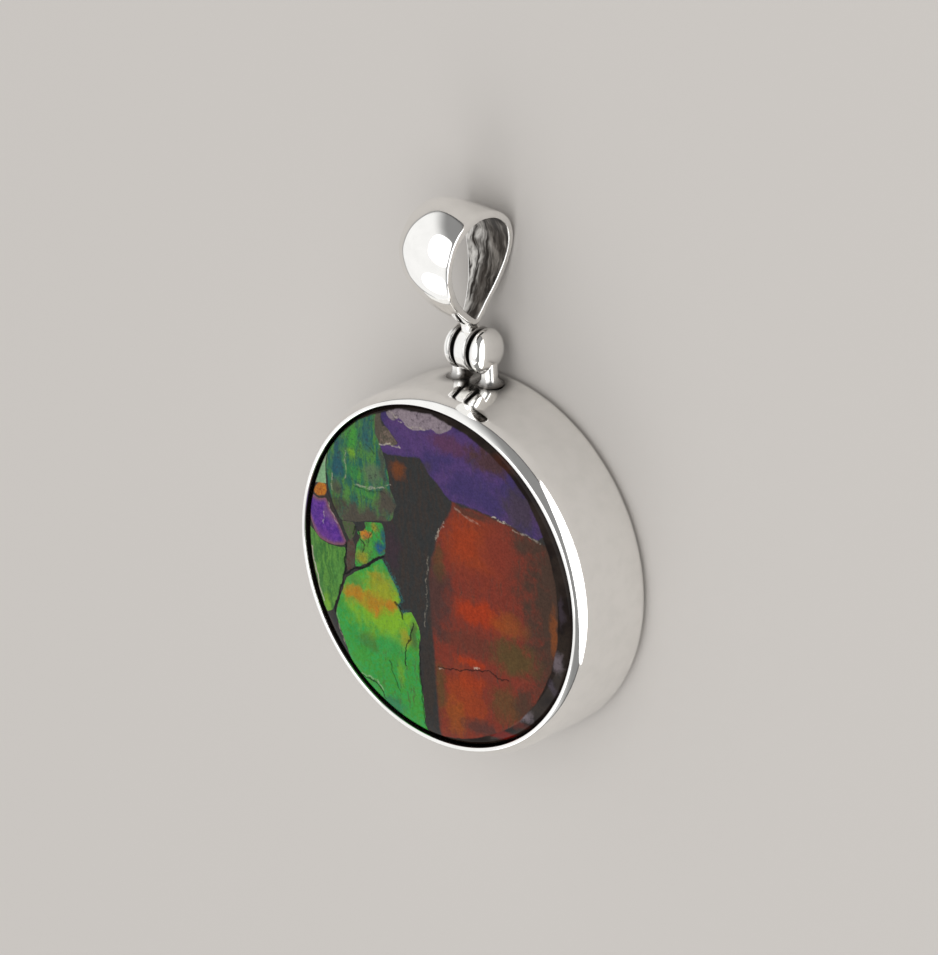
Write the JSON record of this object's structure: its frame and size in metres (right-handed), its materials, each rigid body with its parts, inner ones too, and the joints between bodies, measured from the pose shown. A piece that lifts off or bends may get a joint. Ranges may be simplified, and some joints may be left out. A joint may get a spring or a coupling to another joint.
{
  "type": "ammolite pendant",
  "caption": "Round ammolite cabochon set in a deep polished silver cup, with a domed folded bail that swings on a small pinned hinge and takes a neck chain.",
  "frame": {"origin": "middle of the cup's flat back, on the surface that the pendant lies on", "axes": "+Z out of the stone's face, +Y from the cup's middle to the bail, +X to the right of someone who faces the stone with the bail at the top"},
  "size_m": [0.026, 0.0395, 0.0077],
  "materials": {
    "polished_silver": "mirror-polished sterling silver with fine wear scratches, darker where it is hard to polish",
    "ammolite": "polished iridescent fossil shell in green, orange, red and violet patches, broken by dark cracks"
  },
  "bodies": {
    "pendant": {"silver_cup": "polished_silver", "ammolite_stone": "ammolite", "hinge_bead_left": "polished_silver", "hinge_bead_right": "polished_silver", "hinge_pin": "polished_silver"},
    "bail": {"bail": "polished_silver"}
  },
  "joints": [
    {"name": "bail_swing", "type": "hinge", "parent": "pendant", "child": "bail", "pos_m": [0, 0.0152, 0.0023], "axis": [1, 0, 0], "range_deg": [-117, 70]}
  ]
}
